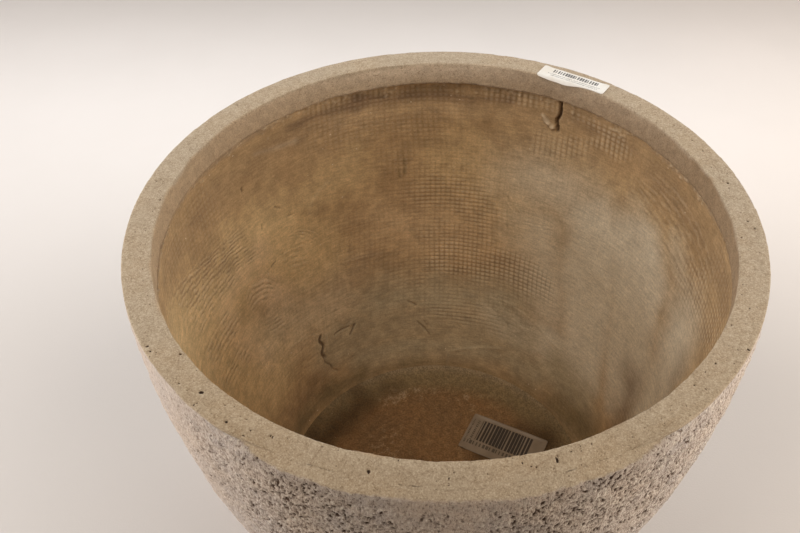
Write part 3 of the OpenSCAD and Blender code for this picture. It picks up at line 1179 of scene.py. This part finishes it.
def innerWall():
    low, top = pot["netTop"], pot["bellyTop"]
    face = bellyLine(pot["wall"], top, backing["lowest"], 120)
    back = bellyLine(pot["netTop"], low, top, 40)
    foot = (float(layerRadius(low, pot["wall"])), low)
    ring = ringGrid([
        ("hiddenLow", 3, [foot, back[0]]),
        ("hiddenBack", 12, back),
        ("hiddenTop", 3, [back[-1], face[0]]),
        ("wall", 0.98, face),
        ("foot", 4, [face[-1], foot]),
    ], 1200)
    patch = openPatch(ring, ["wall"], 1)
    at = patch["points"]
    draw = np.random.default_rng(5)
    printed, nets = netPrint(patch)
    rise = uneven(at, backing["uneven"]) + backing["netHeight"] * printed
    rise += backing["combRise"] * strikeCombs(patch, backing["combs"], draw)
    nets["combLine"], nets["combed"] = combLines(patch)
    folded = strikeStrokes(patch, backing["ridges"], swell)
    rise += folded
    path, radius, high = backing["lump"]
    lumped = nearPath(patch, path, radius, 2.2, cloud(at, 5, 111, 2) * 1.6)
    rise += high * lumped * (0.7 + 0.5 * cloud(at, 3, 113, 2))
    opened = strikeStrokes(patch, backing["cracks"], bowl, 0.1)
    rise -= opened
    count = backing["nodules"]
    height = top - draw.gamma(1.6, 2.2, count)
    small = draw.uniform(0.6, 1.5, count)
    nodules = np.column_stack([draw.uniform(0, 360, count), outlineAt(patch, height), small * 1.3, small,
                               draw.uniform(0, math.pi, count), small * 0.75])
    squeezed = strike(patch, nodules, bowl)
    rise += squeezed
    # drawn up under the lip, and out to nothing where the floor's cove meets it
    height = patch["height"][:, None]
    middle, half, fade, down, share = backing["drawnUp"]
    sides = easy((np.abs(awayFrom(patch["degrees"], middle)) - half) / fade)[None, :]
    filled = byTurn(backing["fill"], patch["degrees"])
    rise += filled * np.exp(-(top - height) / backing["fillFades"])
    rise *= easy((height - 27) / 14)
    rise += pot["brushed"] * (np.clip(40 - height, 0, 13.2) / 13.2) ** 2
    marks = {name: spread(patch, field) for name, field in nets.items()}
    ragged = cloud(at, 22, 120, 2)
    for name, rows in tones.items():
        marks[name] = strongest(patch, rows, lambda soft: ragged * min(soft, 24) * 0.15)
    marks["drawn"] = spread(patch, share * sides * easy(1 - (top - height) / down + 0.0117 * ragged))
    # painted shade in the cracks
    marks["shadeInHollows"] = spread(patch, np.clip(opened / 1.2, 0, 1.6))
    # pale on the nodules, lump and folds: partly their own colour, partly painted highlight
    marks["ridgePaleAndHighlight"] = spread(patch, np.clip(0.5 * squeezed + 0.8 * lumped + 0.3 * folded, 0, 1.2))
    piece = buildRing("innerWall", ring, spread(patch, rise), marks, wallMaterial())
    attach(piece, "root")
    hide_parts("wall_backing")


innerWall()

labels = {  # boxes of bars and dashes are left, right, bottom and top
    "rimLabel": {
        "node": "rim_label", "long": 54.0, "wide": 14.0, "turn": 31.5, "middle": 187.0, "spin": 0.0,
        "bars": (-18.0, 19.0, 1.2, 5.4), "pitch": 2.0, "ink": 0.95, "width": (0.35, 0.85),
        "rows": [(-21.0, 22.0, -1.6, -0.6), (-18.0, 21.0, -3.6, -2.6)], "columns": [],
    },
    "floorLabel": {
        "node": "floor_label", "long": 72.0, "wide": 40.0, "turn": 53.0, "middle": 74.84, "spin": 29.0,
        "bars": (-25.5, 23.5, -7.0, 16.0), "pitch": 3.0, "ink": 1.0, "width": (0.50, 0.86),
        "rows": [(-31.0, 14.0, -13.0, -9.0)],
        "columns": [(-34.0, -32.5, -14.0, 15.0), (-30.0, -28.0, -10.0, 15.0)],
    },
}

print("floor bed")
bed = {
    "rust": (0.212, 0.122, 0.055),
    "rustWarm": (0.240, 0.134, 0.058),
    "grey": (0.240, 0.165, 0.090),
    "high": (0.325, 0.245, 0.150),  # the top of the cove, where it meets the wall
    "highShows": [(0, 0.1), (22, 0.1), (40, 0.5), (55, 0.9), (112, 0.9), (130, 0.45), (150, 0.12),
                  (170, 0.1), (360, 0.1)],
    "mottle": (0.325, 0.235, 0.145),
    # painted shade on one side of the brush marks
    "dark": (0.085, 0.050, 0.028),
    # painted shade where the floor meets the wall, and dark stains
    "cornerShadeAndStain": (0.080, 0.045, 0.018),
    "uneven": [(0.6, 40, 201, 2), (0.28, 9, 204, 3), (0.10, 3, 208, 1)],
    "crumbs": 260,
    "crumbsReach": 122.0,  # how far out they lie
    "patches": [  # the paler slurry: paths of turn and radius, then radius, softness and strength
        ([(118, 99), (105, 104), (90, 103), (72, 98)], 8, 26, 0.6),
        ([(112, 112), (95, 112), (80, 108), (62, 110)], 5, 16, 0.3),
        ([(140, 60), (180, 45)], 22, 30, 0.4),
        ([(-60, 70), (-20, 90)], 24, 30, 0.5),
    ],
    "shadedAndStained": [  # the same, of the dark patches: painted shade where the floor meets the wall, and stains
        ([(158, 116), (148, 110), (138, 108), (130, 114)], 15, 34, 0.82),
        ([(126, 117), (116, 118), (108, 118)], 8, 26, 0.60),
        ([(80, 120), (70, 120)], 4, 20, 0.42),
        ([(40, 62), (32, 85), (28, 110)], 16, 44, 0.95),
        ([(44, 108), (52, 117)], 4, 26, 0.45),
        ([(-90, 120), (-130, 120), (-160, 120)], 8, 30, 0.5),
    ],
    "swirls": [  # brush marks, as the comb's
        ([(150, 96), (120, 92), (95, 98)], [(150, 78), (120, 74), (95, 80)], 6, 0.5, 1.1),
        ([(60, 40), (20, 34), (-30, 40)], [(60, 62), (20, 56), (-30, 62)], 7, 0.45, 1.1),
        ([(-90, 100), (-60, 96), (-30, 102)], [(-90, 80), (-60, 76), (-30, 82)], 6, 0.45, 1.1),
        ([(180, 60), (215, 54), (250, 60)], [(180, 90), (215, 84), (250, 90)], 8, 0.45, 1.1),
    ],
}


def bedMaterial():
    material, shader = newMaterial("floorMortar", 0.9, 0.22)
    at = place()
    broad = grain(at, 30, 3, 0.55, 0.5)
    middle = grain(at, 6, 3, 0.6)
    fine = grain(at, 1.5, 3, 0.65)
    colour = overlay(bed["rust"], (broad, 0.36, 0.64, 1.0, bed["rustWarm"]),
                     (middle, 0.5, 0.75, 0.3, bed["grey"]))
    shift = offMiddle(middle, 1.6)
    little = times(shift, 0.3)
    turned, shadeAndStainMark, pale = [markOf(name) for name in ("turn", "cornerShadeAndStain", "mottle")]
    # painted shade: the cove darkens towards the wall
    colour = overlay(colour, (plus(turned, little), 0.1, 0.9, 1.0, backing["cornerShadeAndStain"]))
    colour = tint(markOf("high"), colour, bed["high"])
    # painted shade by the wall, and stains
    colour = overlay(colour, (plus(shadeAndStainMark, little), 0.1, 1.0, 1.0, bed["cornerShadeAndStain"]),
                     (plus(pale, shift), 0.30, 1.10, 1.0, bed["mottle"]))
    colour = shade(shade(colour, middle, 0.14), fine, 0.26)
    colour = tint(strayGrains(at, 5.5, 0.93, 0.12), colour, bed["mottle"])
    # painted shade on the slopes of the brush marks that face one way
    colour = tint(times(markOf("shadeInHollows"), 0.5), colour, bed["dark"])
    dress(shader, colour, [(middle, 0.8), (fine, 0.5)], (middle, 0.74, 0.25))
    return material


def floorBed():
    low, floor, cove, bore = pot["netTop"], pot["floor"], pot["cove"], pot["drain"]
    lean = math.atan(float(bellyLean(floor)))
    flat = float(layerRadius(floor, pot["wall"])) - cove * math.tan((math.pi / 2 - lean) / 2)
    flat += pot["coveBite"]
    turned = roundLine((flat, floor + cove), cove, 0, -90, 91)
    # the cove begins where its round comes out of the wall, and its hidden side lies in the wall
    highest = floor + cove * (1 - math.sin(lean))
    turned = [p for p in turned if p[1] < highest and p[0] < layerRadius(p[1], pot["wall"])]
    skin = bellyLine(pot["wall"] - 0.4, low, turned[0][1], 12)
    ring = ringGrid([
        ("hiddenUnder", 10, [(bore, low), skin[0]]),
        ("hiddenSide", 6, skin + [turned[0]]),
        ("cove", 0.8, turned),
        ("floor", 1.15, [(flat, floor), (bore + 1.5, floor)]),
        ("bore", 0.9, roundLine((bore + 1.5, floor - 1.5), 1.5, 90, 180, 6) + [(bore, low)]),
    ], 720)
    patch = openPatch(ring, ["cove", "floor", "bore"], 0)
    at = patch["points"]
    draw = np.random.default_rng(9)
    # nothing rises by the drain hole, or high on the cove
    ease = easy((flat + 16 - patch["radius"]) / 10)[:, None] * easy((patch["radius"] - 9.5) / 4)[:, None]
    rise = uneven(at, bed["uneven"])
    sheet = labels["floorLabel"]
    calm = 1 - 0.8 * nearPath(patch, [(90 - sheet["turn"], sheet["middle"])], sheet["long"] / 2, 16)
    swirl = strikeCombs(patch, bed["swirls"], draw)
    count = bed["crumbs"]
    size = draw.uniform(0.8, 2.2, count)
    turn = draw.uniform(0, 360, count)
    radius = np.sqrt(draw.uniform(0.02, 1, count)) * bed["crumbsReach"]
    crumbs = np.column_stack([turn, outlineAt(patch, radius), size, size * 0.8,
                              draw.uniform(0, 3, count), size * 0.5])
    crumbled = strike(patch, crumbs, bowl)
    # painted shade: where the brush marks fall away along the outline
    marks = {"shadeInHollows": spread(patch, np.clip(-np.gradient(swirl, axis=0) * 2.4, 0, 0.7))}
    ragged = cloud(at, 18, 211, 2) * 4
    marks["mottle"] = strongest(patch, bed["patches"], lambda soft: ragged)
    marks["cornerShadeAndStain"] = strongest(patch, bed["shadedAndStained"], lambda soft: ragged)
    # painted shade: how far the cove is darkened towards the wall
    marks["turn"] = spread(patch, easy((patch["radius"] - flat + 24) / 38)[:, None])
    up = easy((patch["height"] - floor - 1) / 9)[:, None]
    marks["high"] = spread(patch, up * np.interp(patch["degrees"], *np.array(bed["highShows"], float).T))
    rise = (rise * ease + (swirl + crumbled) * ease) * calm
    # the crease where it meets the wall was smoothed out with a wet brush
    rise += 0.2 * pot["brushed"] * np.clip((patch["height"][:, None] - floor) / 8.8, 0, 1) ** 2
    piece = buildRing("floorBed", ring, spread(patch, rise), marks, bedMaterial())
    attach(piece, "root")
    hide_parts("floor_bed")


floorBed()

print("glass net")
net = {
    "thread": (0.70, 0.66, 0.52),
    "slurry": (0.34, 0.26, 0.17),
    "paleSlurry": (0.42, 0.33, 0.22),
    "around": 250,  # upright threads
    "pitch": 4.3,  # of the level ones
}


def netMaterial():
    material, shader = newMaterial("glassNet", 0.6, 0.35)
    at = place()
    x, y, z = axes(at)
    turn = calc("ARCTAN2", y, x)
    lines = []
    for value, count in ((turn, net["around"] / (2 * math.pi)), (z, 1 / (net["pitch"] * mm))):
        wave = calc("ABSOLUTE", calc("SINE", times(value, count * math.pi)))
        lines.append(fit(wave, 0.45, 0.2))
    thread = calc("MAXIMUM", *lines)
    fuzz = grain(at, 0.8, 3)
    colour = overlay(net["slurry"], (fuzz, 0.3, 0.7, 1.0, net["paleSlurry"]))
    colour = tint(thread, colour, net["thread"])
    dress(shader, colour, [(thread, 0.3), (fuzz, 0.15)])
    return material


netFinish = netMaterial()
for name in ("wall_net", "floor_net"):
    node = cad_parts[name]
    node.data.materials.clear()
    node.data.materials.append(netFinish)

print("paper labels")
paper = {
    "rimLabel": [(0.80, 0.76, 0.71), (0.70, 0.63, 0.54)],  # white and aged; the floor label's pair is darkened: painted shade
    # painted shade: the floor label's paper is painted darker where it lies in the pot
    "floorLabel": [(0.265, 0.205, 0.145), (0.205, 0.152, 0.100)],
    "ink": (0.035, 0.025, 0.018),
    "corner": 1.5,
    "cell": 0.5,  # of its mesh
    "thick": 0.3,
    "lift": 0.45,  # of its upper side off what it lies on
}


def labelMaterial(name, label):
    material, shader = newMaterial(name, 0.5, 0.4)
    at = place()
    x, y = markOf("along"), markOf("across")
    stain = grain(at, 14, 3)
    fibre = grain(at, 0.8, 2)
    paperTone, aged = paper[name]
    colour = overlay(paperTone, (stain, 0.35, 0.7, 0.8, aged))

    def between(value, low, high):
        above, below = calc("GREATER_THAN", value, low), calc("LESS_THAN", value, high)
        return times(above, below)

    # one mark in each step along the label, each as wide as its own random number says
    def dashes(value, pitch, least, most, seed):
        step = calc("DIVIDE", value, pitch)
        dice = newNode("TexWhiteNoise")
        dice.noise_dimensions = "1D"
        link(plus(calc("FLOOR", step), seed), dice.inputs["W"])
        width = plus(times(dice.outputs["Value"], most - least), least)
        return calc("LESS_THAN", calc("FRACT", step), width)

    def box(left, right, bottom, top):
        return times(between(x, left, right), between(y, bottom, top))

    bars = times(dashes(x, label["pitch"], *label["width"], 3.5), box(*label["bars"]))
    inked = times(bars, label["ink"])
    # rows and columns of plain dashes
    for k, row in enumerate(label["rows"]):
        mark = times(dashes(x, (row[3] - row[2]) * 0.8, 0.3, 0.8, 20.5 + k), box(*row))
        inked = calc("MAXIMUM", inked, times(mark, 0.75))
    for k, column in enumerate(label["columns"]):
        mark = times(dashes(y, (column[1] - column[0]) * 1.1, 0.3, 0.8, 40.5 + k), box(*column))
        inked = calc("MAXIMUM", inked, times(mark, 0.70))
    inked = times(inked, fit(fibre, 0.2, 0.45, 0.75, 1.0))
    dress(shader, tint(inked, colour, paper["ink"]), [(fibre, 0.04)])
    return material


def paperLabel(name, label):
    long, wide, corner, cell = label["long"], label["wide"], paper["corner"], paper["cell"]
    columns, rows = int(long / cell) + 1, int(wide / cell) + 1
    y = np.linspace(-wide / 2, wide / 2, rows)[:, None]
    share = np.linspace(-1, 1, columns)[None, :]
    cut = np.maximum(np.abs(y) - (wide / 2 - corner), 0)
    half = long / 2 - corner + np.sqrt(np.maximum(corner ** 2 - cut ** 2, 0))
    x = share * half
    y = y + 0 * x
    flat = np.stack([x, y, 0 * x], -1)
    onRim = label["node"] == "rim_label"
    torn = y
    if onRim:
        # the inner edge was torn along, so it waves
        wave = cloud(np.stack([x, 0 * x + 3, 0 * x], -1), 22, 301, 2) * 0.8
        torn = y + wave * easy((2 - y) / (wide / 2 + 2)) ** 1.5
        flat[..., 1] = torn
    spin, turn = math.radians(label["spin"]), math.radians(label["turn"])
    px = x * math.cos(spin) - torn * math.sin(spin)
    py = x * math.sin(spin) + torn * math.cos(spin) + label["middle"]
    wx = px * math.cos(turn) + py * math.sin(turn)
    wy = -px * math.sin(turn) + py * math.cos(turn)
    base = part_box(label["node"])[0].z / mm
    r = np.hypot(wx, wy)
    z = base + (paper["lift"] + 0.10 * cloud(np.stack([wx, wy, 0 * wx], -1), 16, 307, 2))
    if onRim:
        # it hangs over the mouth, its ends have come up, and it follows the rim's round outside
        over = np.maximum(pot["mouthRadius"] + 0.8 - r, 0)
        z = z - 0.16 * over ** 2 + 0.35 * easy((np.abs(x) - 20) / 7)
        bend = pot["rimRound"]
        out = np.maximum(r - (pot["rimRadius"] - bend), 0)
        z = z - (bend - np.sqrt(bend ** 2 - np.minimum(out, 4.9) ** 2)) * 0.6
    else:
        # its edges have come up here and there
        rim = np.maximum(np.abs(x) / (long / 2), np.abs(y) / (wide / 2))
        z = z + 0.5 + 0.9 * easy((rim - 0.82) / 0.18) * easy(cloud(flat, 30, 311, 1) + 0.5)
    topSide = np.stack([wx, wy, z], -1).reshape(-1, 3)
    underSide = topSide - [0, 0, paper["thick"]]
    count = rows * columns
    i, j = np.divmod(np.arange((rows - 1) * (columns - 1)), columns - 1)
    a = i * columns + j
    quads = np.stack([a, a + 1, a + columns + 1, a + columns], 1)
    rimLoop = np.concatenate([np.arange(columns), np.arange(1, rows) * columns + columns - 1,
                              (rows - 1) * columns + np.arange(columns - 2, -1, -1),
                              np.arange(rows - 2, 0, -1) * columns])
    ahead = np.roll(rimLoop, -1)
    sides = np.stack([rimLoop + count, ahead + count, ahead, rimLoop], 1)
    faces = np.vstack([quads, quads[:, ::-1] + count, sides])
    mesh = bpy.data.meshes.new(name)
    mesh.from_pydata((np.vstack([topSide, underSide]) * mm).tolist(), [], faces.tolist())
    for mark, amount in (("along", x), ("across", torn)):
        keepMark(mesh, mark, np.tile(amount.ravel(), 2))
    mesh.polygons.foreach_set("use_smooth", np.arange(len(faces)) < 2 * len(quads))
    mesh.materials.append(labelMaterial(name, label))
    piece = addObject(name, mesh)
    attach(piece, "root")
    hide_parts(label["node"])


for name, label in labels.items():
    paperLabel(name, label)
